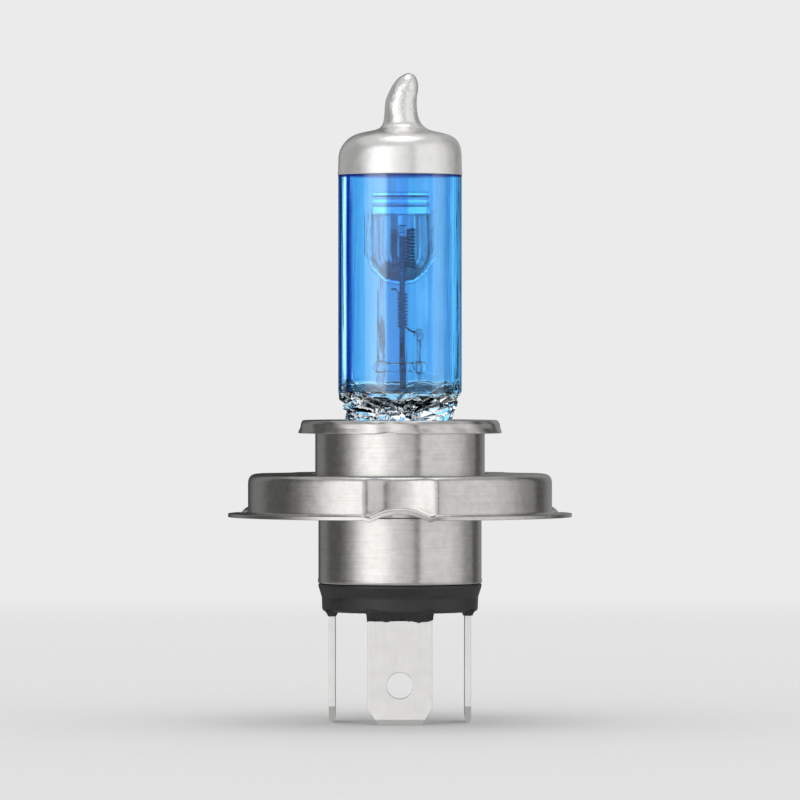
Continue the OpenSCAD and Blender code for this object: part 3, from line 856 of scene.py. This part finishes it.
def join_objects(name, parts):
    """One object from several, with their modifiers applied."""
    depsgraph = bpy.context.evaluated_depsgraph_get()
    bm = bmesh.new()
    for obj in parts:
        mesh = obj.evaluated_get(depsgraph).to_mesh()
        bm.from_mesh(mesh)
        obj.evaluated_get(depsgraph).to_mesh_clear()
    mesh = bpy.data.meshes.new(name)
    bm.to_mesh(mesh)
    bm.free()
    for obj in parts:
        bpy.data.objects.remove(obj)
    shade(mesh, 45)
    return link(name, mesh)


def coil(name, start, turns, tail_in, tail_out):
    """Helix about the upright line through start, with a curved tail at each end."""
    steps = 20
    path = [Vector(start) + Vector(polar(COIL_R, 360 * i / steps, COIL_PITCH * i / steps))
            for i in range(int(turns * steps) + 1)]
    begin = bend([Vector(p) for p in tail_in] + [path[0]], 0.4, 4)
    end = bend([path[-1]] + [Vector(p) for p in tail_out], 0.4, 4)
    return oriented(name, *tube_mesh(begin[:-1] + path + end[1:], COIL_WIRE_R, 8))


def crimp(at, length, radius):
    """Short sleeve pinched flat in its middle."""
    steps = 12
    path = [Vector(at) + Vector((0, 0, length * i / steps)) for i in range(steps + 1)]

    def squeeze(i):
        dent = math.exp(-((i / steps - 0.5) / 0.2) ** 2)
        return 1 + 0.12 * dent, 1 - 0.3 * dent

    return tube_mesh(path, radius, 20, squeeze)


low_top = LOW_COIL[2] + LOW_TURNS * COIL_PITCH
high_top = HIGH_COIL[2] + HIGH_TURNS * COIL_PITCH
low_coil = coil("low_coil", LOW_COIL, LOW_TURNS, [(1.9, -1.3, 29.7), (1.95, -0.5, 29.75)],
                [(1.7, -0.7, low_top + 0.1), (LOW_X + 0.45, LOW_FRONT + 0.2, low_top)])
high_coil = coil("high_coil", HIGH_COIL, HIGH_TURNS, [(HIGH_X - 0.4, -0.25, 21.8), (1.4, -0.25, 22.0)],
                 [(-0.4, 0.6, high_top + 0.2), (COMMON_X + 1.3, 1.5, high_top + 0.5)])
low_lead = rod("low_lead", [(LOW_X, 0, FOIL_TOP), (LOW_X, 0, 18.8), (LOW_X, LOW_FRONT, 21),
                            (LOW_X, LOW_FRONT, LOW_LEAD_TOP)], LEAD_R)
high_lead = rod("high_lead", [(HIGH_X, 0, FOIL_TOP), (HIGH_X, 0, 15), (HIGH_X, 0, HIGH_LEAD_TOP)],
                LEAD_R)
common_lead = rod("common_lead", [(COMMON_X, 0, FOIL_TOP), (COMMON_X, 0, 18.8),
                                  (COMMON_X, COMMON_BACK, 24),
                                  (COMMON_X, COMMON_BACK, COMMON_LEAD_TOP)], COMMON_LEAD_R)
crimps = oriented("lead_crimps", *merged([
    crimp((LOW_X, LOW_FRONT, LOW_LEAD_TOP - 1.15), 1.2, LEAD_R + 0.2),
    crimp((HIGH_X, 0, HIGH_LEAD_TOP - 1.15), 1.2, LEAD_R + 0.2)]))
shield = join_objects("beam_cup", [shield_cup(), oriented("shield_tab", *shield_tab())])


def bridge_bar():
    """Quartz bar melted into a bead round each outer lead."""
    path, radii = [], []
    steps = 48
    for i in range(steps + 1):
        x = COMMON_X - 1.0 + (HIGH_X - COMMON_X + 2.0) * i / steps
        reach = min(abs(x - COMMON_X), abs(x - HIGH_X))
        bead = math.sqrt(max(0.0, 1 - (reach / 1.02) ** 2)) * 0.98
        inside = COMMON_X < x < HIGH_X
        path.append((x, 0, BRIDGE_Z + 0.04 * math.sin(2.1 * x)))
        radii.append(max(bead, 0.66 if inside else 0.12))
    return oriented("quartz_bar", *tube_mesh(path, 1.0, 24, lambda i: (radii[i], radii[i])), 60)


place(low_coil, TUNGSTEN, "tungsten", "low_beam_filament")
place(high_coil, TUNGSTEN, "tungsten", "high_beam_filament")
place(low_lead, SHADED_MOLYBDENUM, "molybdenum", "low_beam_lead")
place(high_lead, MOLYBDENUM, "molybdenum", "high_beam_lead")
place(common_lead, MOLYBDENUM, "molybdenum", "common_lead")
place(crimps, MOLYBDENUM, "molybdenum", "filament_crimps")
place(shield, SHIELD_METAL, "molybdenum", "beam_shield")
place(bridge_bar(), QUARTZ, "quartz", "quartz_bridge")


# ---- Metal base ----

def off_axis(azimuth, centre):
    """Angle from centre to azimuth in degrees, from -180 to 180."""
    return (azimuth - centre + 180) % 360 - 180


def soft_min(a, b, width):
    near = max(width - abs(a - b), 0) / width
    return min(a, b) - near * near * width / 4


def wall_radius(azimuth):
    """Radius of the ring's wall: a circle with three hollows, soft at their corners."""
    radius = RING_R
    for lug in LUG_AZIMUTHS:
        d = math.radians(off_axis(azimuth, lug))
        inside = HOLLOW_R ** 2 - (HOLLOW_CENTRE * math.sin(d)) ** 2
        if math.cos(d) > 0 and inside > 0:
            hollow = HOLLOW_CENTRE * math.cos(d) - math.sqrt(inside)
            radius = soft_min(radius, hollow, 0.7)
    return radius


def lug_lift(azimuth, radius):
    """Rise of the flange's sheet above its plane at the three crowned lugs."""
    for lug in LUG_AZIMUTHS:
        d = math.radians(off_axis(azimuth, lug))
        side = abs(radius * math.sin(d))
        if math.cos(d) > 0 and side < LUG_HALF + LUG_FADE:
            inner = min(side, LUG_HALF)
            crest = math.sqrt(LUG_ARC_R ** 2 - inner ** 2) - LUG_ARC_R - FLANGE_Z
            t = (side - inner) / LUG_FADE
            return crest * (1 - t * t * (3 - 2 * t))
    return 0.0


def ring_azimuths():
    """Azimuths round the ring, closer together near the lugs and hollows."""
    out, azimuth = [], 0.0
    while azimuth < 360:
        out.append(azimuth)
        near = min(abs(off_axis(azimuth, lug)) for lug in LUG_AZIMUTHS)
        azimuth += 0.3 if near < 25 else 1.2
    return out


def ring_dish():
    """Pressed dish: neck round the collar, flat top, wall with three hollows, flange."""
    under = FLANGE_Z - RING_SHEET

    def loop_at(azimuth):
        wall = wall_radius(azimuth)
        loop = rounded([(COLLAR_R + 0.03, 1.2, 0.1), (COLLAR_R + 0.03, RING_TOP, 0.5),
                        (wall, RING_TOP, 1.2), (wall, FLANGE_Z, 0.5),
                        (FLANGE_R, FLANGE_Z, 0.07), (FLANGE_R, under, 0.07),
                        (wall - RING_SHEET, under, 0.6), (wall - RING_SHEET, 3.75, 0.75),
                        (COLLAR_R + 0.48, 3.75, 0.15), (COLLAR_R + 0.48, 1.2, 0.1)], steps=6)
        lifted = []
        for r, z in loop:
            if z < 0.3 and r > wall - 1.4:
                z += lug_lift(azimuth, r) * min(1.0, max(0.0, (0.3 - z) / 0.6))
            lifted.append((r, z))
        return lifted

    return swept("ring_dish", ring_azimuths(), loop_at, sharp=40)


def collar_brim(azimuth, r, z):
    """Small unevenness of the brim's skirt, and the dent left by staking at its front."""
    if r > 11.2 and z < BRIM_TOP - 0.02:
        a = math.radians(azimuth)
        r += 0.07 * math.sin(7 * a + 0.7) * math.sin(2 * a) + 0.05 * math.sin(17 * a + 2 * z)
        near = math.exp(-((off_axis(azimuth, FRONT) + 6.8) / 4.6) ** 2)
        r -= 0.3 * near * max(0.0, (10.8 - z) / 1.5)
        z += 0.24 * near * max(0.0, (10.3 - z))
    return r, z


def collar_sleeve():
    profile = rounded([(COLLAR_R, -0.6, 0.1), (COLLAR_R, 10.5, 0.4), (11.7, 10.5, 0.25),
                       (12.1, 9.9, 0.2), (BRIM_R - 0.4, BRIM_EDGE, 0.1), (BRIM_R, BRIM_EDGE, 0.12),
                       (12.5, 9.95, 0.35), (12.42, 10.45, 0.3), (12.15, BRIM_TOP, 0.35),
                       (8.6, BRIM_TOP, 0.15), (8.6, 10.5, 0.12), (10.2, 10.5, 0.3),
                       (10.2, -0.6, 0.1)], steps=5)
    return lathe("collar_sleeve", profile, sides=288, shape=collar_brim)


def base_shell():
    profile = rounded([(10.1, 2.6, 0.08), (10.1, -1.1, 0.04), (SHELL_R, -1.2, 0.05),
                       (SHELL_R, -8.85, 0.25), (SHELL_R + 0.07, -9.08, 0.12),
                       (SHELL_R, SHELL_BOTTOM, 0.3), (9.45, SHELL_BOTTOM, 0.12),
                       (9.45, -9.1, 0.1), (9.75, -9.1, 0.1), (9.75, 2.6, 0.08)], steps=5)
    return lathe("base_shell", profile)


def inner_sleeve():
    """Sleeve inside the collar, closed by a plate with the slot for the pinch."""
    outside, wall, plate = 10.17, 0.4, 8.3

    def loop_at(azimuth):
        edge = squared(math.radians(azimuth), 5.9, 2.7, 12)
        return rounded([(outside, 3.0, 0.08), (outside, plate, 0.35), (edge, plate, 0.12),
                        (edge, plate - wall, 0.1), (outside - wall, plate - wall, 0.2),
                        (outside - wall, 3.0, 0.08)])

    return swept("inner_sleeve", around(192), loop_at, sharp=40)


place(ring_dish(), RING_STEEL, "nickel_steel", "prefocus_ring")
place(collar_sleeve(), COLLAR_STEEL, "nickel_steel", "collar")
place(base_shell(), SHELL_STEEL, "nickel_steel", "lower_shell")
place(inner_sleeve(), CLIP_STEEL, "nickel_steel", "burner_sleeve")


# ---- Insulator, resin and blades ----

def insulator_plug():
    profile = rounded([(0, -8.2, 0), (9.7, -8.2, 0.1), (9.7, -9.52, 0.03), (SHELL_R, -9.55, 0.1),
                       (SHELL_R, -9.85, 0.12), (9.78, -11.2, 0.2), (9.72, INSULATOR_BOTTOM, 0.5),
                       (4.2, INSULATOR_BOTTOM, 0.15), (4.2, -12.4, 0.2), (0, -12.4, 0)],
                      closed=False, steps=5)
    return lathe("insulator_plug", profile, closed=False)


def blade_axes(azimuth):
    """Directions outwards, and across the face, of the blade at this azimuth."""
    return Vector(polar(1, azimuth, 0)), Vector(polar(1, azimuth + 90, 0))


def blade(name, azimuth):
    """Flat contact with a narrow neck, a hole, rounded edges and a coined end."""
    data = bpy.data.curves.new(name, "CURVE")
    data.dimensions = "2D"
    data.fill_mode = "BOTH"
    data.extrude = (BLADE_T / 2 - BLADE_BEVEL) * MM
    data.bevel_depth = BLADE_BEVEL * MM
    data.bevel_resolution = 2
    data.offset = -BLADE_BEVEL * MM
    half, end, neck = BLADE_HALF, BLADE_END_HALF, BLADE_NECK_HALF
    right = [(half, BLADE_END + BLADE_TAPER), (half, INSULATOR_BOTTOM), (neck, INSULATOR_BOTTOM),
             (neck, BLADE_NECK_TOP - 0.6), (neck - 0.6, BLADE_NECK_TOP)]
    outline = [(-end, BLADE_END), (end, BLADE_END)] + right + [(-x, z) for x, z in reversed(right)]
    hole = [(x, BLADE_HOLE_Z + z) for x, z, _ in (polar(BLADE_HOLE_R, -7.5 * i, 0) for i in range(48))]
    for loop in (outline, hole):
        spline = data.splines.new("POLY")
        spline.points.add(len(loop) - 1)
        for point, (x, z) in zip(spline.points, loop):
            point.co = (x * MM, z * MM, 0, 1)
        spline.use_cyclic_u = True
    curve = link(name, data)
    mesh = bpy.data.meshes.new_from_object(curve)
    bpy.data.objects.remove(curve)
    bm = bmesh.new()
    bm.from_mesh(mesh)
    coin = (BLADE_END + BLADE_COIN_L) * MM
    bmesh.ops.bisect_plane(bm, geom=bm.verts[:] + bm.edges[:] + bm.faces[:],
                           plane_co=(0, coin, 0), plane_no=(0, 1, 0), dist=1e-7)
    for v in bm.verts:
        if v.co.y < coin:
            share = min(1.0, (coin - v.co.y) / (BLADE_COIN_L * MM))
            v.co.z *= 1 + (BLADE_COIN_T / BLADE_T - 1) * share
    bmesh.ops.remove_doubles(bm, verts=bm.verts, dist=1e-7)
    out, across = blade_axes(azimuth)
    for v in bm.verts:
        x, z, y = v.co
        v.co = across * x + out * (BLADE_CENTRE * MM + y) + Vector((0, 0, z))
    bmesh.ops.recalc_face_normals(bm, faces=bm.faces)
    bm.to_mesh(mesh)
    bm.free()
    shade(mesh, 14)
    return link(name, mesh)


def resin_lip(azimuth, drop, seed):
    """Resin that creeps down round the root of a blade and ends in an uneven edge."""
    rng = random.Random(seed)
    waves = [(rng.uniform(0.5, 3.4), rng.uniform(0, 6.28), rng.uniform(0.3, 1)) for _ in range(6)]
    half_x, half_y = BLADE_HALF + 0.12, BLADE_T / 2 + 0.3
    sides = 96
    rows = ((0.55, 1.3, 0.0), (0.0, 1.0, 0.0), (-0.4, 0.55, 0.4), (-0.75, 0.28, 0.8),
            (-0.95, 0.08, 1.0), (-1.0, -0.2, 1.0))
    points = []
    out, across = blade_axes(azimuth)
    for level, spread, wavy in rows:
        for k in range(sides):
            a = 2 * math.pi * k / sides
            r = squared(a, 1, 1, 8)
            x = r * math.cos(a) * (half_x + 0.12 * (spread - 0.3))
            y = r * math.sin(a) * (half_y + 0.28 * (spread - 0.5))
            wave = sum(w * math.sin(f * x * 1.7 + p) for f, p, w in waves) / 3
            z = INSULATOR_BOTTOM + level * drop * (1 + 0.42 * wave * wavy)
            points.append(across * x + out * (BLADE_CENTRE + y) + Vector((0, 0, z)))
    faces = grid_faces(len(rows), sides, False, True)
    faces.append(tuple(range(sides)))
    faces.append(tuple((len(rows) - 1) * sides + k for k in range(sides)))
    return points, faces


place(insulator_plug(), PLASTIC, "black_plastic", "insulator")
place(blade("front_blade", -90), BLADE_METAL, "blade_metal", "low_beam_terminal")
place(blade("right_blade", 0), BLADE_METAL, "blade_metal", "high_beam_terminal")
place(blade("left_blade", 180), BLADE_METAL, "blade_metal", "earth_terminal")
lips = merged([resin_lip(-90, 0.9, 3), resin_lip(0, 0.35, 4), resin_lip(180, 0.35, 5)])
place(oriented("resin_lips", *lips), RESIN, "black_resin", "blade_sealant")

for node, finish in (("low_beam_foil", FOIL_METAL), ("high_beam_foil", FOIL_METAL),
                     ("common_foil", FOIL_METAL), ("low_beam_wire", NICKEL_WIRE),
                     ("high_beam_wire", NICKEL_WIRE), ("earth_wire", NICKEL_WIRE),
                     ("pinch_clip", CLIP_STEEL), ("weld_joints", NICKEL_WIRE)):
    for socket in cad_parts[node].material_slots:
        socket.material = finish


# ---- Floor and light ----

def add_floor():
    """Large pale disc that fades into the background away from the bulb."""
    radius, rings, sides = 600, 24, 96
    level = BLADE_END - 0.02
    points = [(0, 0, level)]
    for i in range(1, rings + 1):
        r = radius * (i / rings) ** 2
        points += [polar(r, 360 * k / sides, level) for k in range(sides)]
    faces = [(0, 1 + k, 1 + (k + 1) % sides) for k in range(sides)]
    faces += [tuple(reversed(f)) for f in grid_faces(rings, sides, False, True, first=1)]
    floor = make("floor", points, faces)
    made, t = material("floor")
    point = object_point(t)
    flat = t.add("ShaderNodeVectorMath", {0: point, 1: (1, 1, 0)}, operation="MULTIPLY")
    away = t.add("ShaderNodeVectorMath", {0: flat}, out=1, operation="LENGTH")
    grain = t.noise(point, 0.6, 3.0, 0.6)
    colour = t.mix(grain, (0.78, 0.78, 0.785, 1), (0.84, 0.84, 0.845, 1))
    under = t.add("ShaderNodeNewGeometry", out=6)
    fade = t.math("MAXIMUM", t.span(away, 60, 420, 0.0, 1.0), under)
    surface = t.add("ShaderNodeBsdfPrincipled", {"Base Color": colour, "Roughness": 0.7})
    clear = t.add("ShaderNodeBsdfTransparent")
    t.layered(fade, surface, clear)
    floor.data.materials.append(made)
    floor.visible_glossy = False
    floor.visible_transmission = False


def add_world():
    """Plain pale studio with even diffuse light. The metal and glass show upright soft
    boxes with dark gaps between them, set by their azimuth from the front, positive to
    the right. What is seen through the glass has its own set, bright behind the bulb."""
    bands = ((-180, 0.03), (-162, 0.07), (-146, 0.22), (-130, 0.22), (-118, 0.12), (-96, 0.11),
             (-84, 0.21), (-72, 0.46), (-60, 0.95), (-48, 1.35), (-28, 1.42), (-16, 1.1),
             (0, 0.8), (17, 0.64), (23, 0.3), (27, 0.3), (30, 0.84), (72, 0.83), (92, 0.62),
             (106, 0.36), (122, 0.26), (127, 0.1), (138, 0.12), (150, 0.25), (168, 0.3),
             (180, 0.2))
    through = ((-180, 1.2), (-166, 1.2), (-162, 1.8), (-124, 1.8), (-118, 0.15), (-92, 0.08),
               (-86, 1.8), (-40, 1.8), (-30, 1.3), (-12, 1.3), (-8, 3.6), (8, 3.6), (12, 1.3),
               (22, 1.3), (30, 0.6), (40, 0.6), (50, 1.8), (84, 1.8), (92, 0.06), (118, 0.1),
               (125, 1.6), (146, 1.6), (149, 0.7), (158, 0.7), (163, 1.2), (180, 1.2))
    world = bpy.data.worlds.new("studio")
    bpy.context.scene.world = world
    world.use_nodes = True
    t = Tree(world.node_tree)
    x, y, z = t.xyz(t.add("ShaderNodeTexCoord", out=0))
    turn = t.math("ADD", t.math("DIVIDE", front_azimuth(t, x, y), 2 * math.pi), 0.5)
    seen, diffuse, transmitted = (t.add("ShaderNodeLightPath", out=i) for i in (0, 2, 6))
    band = t.between(transmitted, band_ramp(t, turn, bands, 2.0), band_ramp(t, turn, through, 4.0))
    gap = t.span(z, 0.58, 0.76, 0.0, 1.0)
    top = t.span(z, 0.9, 0.97, 0.0, 1.0)
    lower = t.span(z, -0.15, -0.5, 0.0, 1.0)
    floor_level = t.span(transmitted, 0.0, 1.0, 0.38, 1.3)
    level = t.between(gap, band, 0.5)
    level = t.between(top, level, 1.5)
    level = t.between(lower, level, floor_level)
    level = t.between(diffuse, level, 1.04)
    light = t.add("ShaderNodeBackground", {0: (1.0, 0.995, 0.985, 1), 1: level})
    plain = t.add("ShaderNodeBackground", {0: (0.83, 0.83, 0.835, 1), 1: 1.0})
    t.add("ShaderNodeOutputWorld", {0: t.add("ShaderNodeMixShader", {0: seen, 1: light, 2: plain})})


add_floor()
add_world()
bpy.context.scene.view_settings.view_transform = "Standard"
